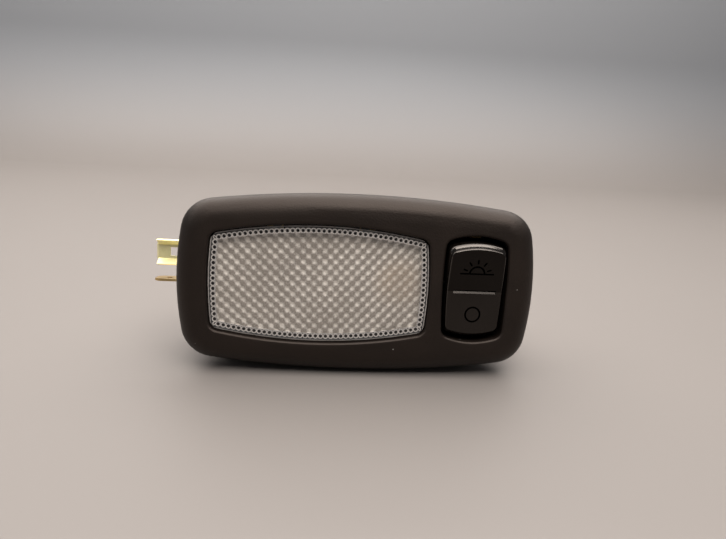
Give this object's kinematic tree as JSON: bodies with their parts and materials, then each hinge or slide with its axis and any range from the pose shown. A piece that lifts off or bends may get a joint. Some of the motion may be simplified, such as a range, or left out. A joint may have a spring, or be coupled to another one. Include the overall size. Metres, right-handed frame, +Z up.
{
  "type": "car dome light",
  "caption": "Long bowed interior lamp with a prismatic lens, a rocker switch, a blade terminal and a sprung earth clip on a pale rear housing.",
  "frame": {"origin": "middle of the face frame on the plane of its rear rim, which seats on the headliner; mount panel_cutout", "axes": "+X along the lamp from the terminal end to the switch end, +Y backwards into the roof cut-out, +Z up the lamp's short way as it stands on its long edge; the face looks towards -Y"},
  "size_m": [0.1308, 0.0367, 0.0584],
  "materials": {
    "frame_plastic": "fine grain, black brown",
    "lens_plastic": "clear, polished, prisms behind",
    "housing_plastic": "pale moulded plastic",
    "reflector_sheet": "bright sheet",
    "bulb_glass": "clear",
    "cap_metal": "tinned",
    "filament_wire": "dull wire",
    "strip_brass": "rolled",
    "clip_plating": "yellow passivated spring steel",
    "rivet_steel": "plain",
    "rocker_plastic": "satin black with engraved symbols",
    "slider_plastic": "natural slippery plastic",
    "spring_steel": "bright strip",
    "base_plastic": "moulded"
  },
  "bodies": {
    "lamp": {"bezel": "frame_plastic", "lens": "lens_plastic", "housing": "housing_plastic", "reflector": "reflector_sheet", "bulb_glass": "bulb_glass", "bulb_cap_left": "cap_metal", "bulb_cap_right": "cap_metal", "filament": "filament_wire", "feed_strip": "strip_brass", "lamp_strip": "strip_brass", "earth_strip": "strip_brass", "earth_clip": "clip_plating", "clip_rivet": "rivet_steel", "switch_base": "base_plastic", "detent_spring": "spring_steel"},
    "rocker": {"rocker": "rocker_plastic"},
    "carriage": {"contact_carriage": "slider_plastic", "contact_spring": "spring_steel", "bridge_contact": "strip_brass"}
  },
  "joints": [
    {"name": "rocker_tilt", "type": "hinge", "parent": "lamp", "child": "rocker", "pos_m": [0.0378, -0.003, 0.0005], "axis": [-1, 0, 0], "range_deg": [0, 16]},
    {"name": "carriage_slide", "type": "slide", "parent": "lamp", "child": "carriage", "axis": [0, 0, -1], "range_m": [0, 0.0024], "deforming": ["detent_spring"]}
  ],
  "couplings": [
    {"joint": "carriage_slide", "follows": "rocker_tilt", "m_per_rad": 0.0084727}
  ]
}
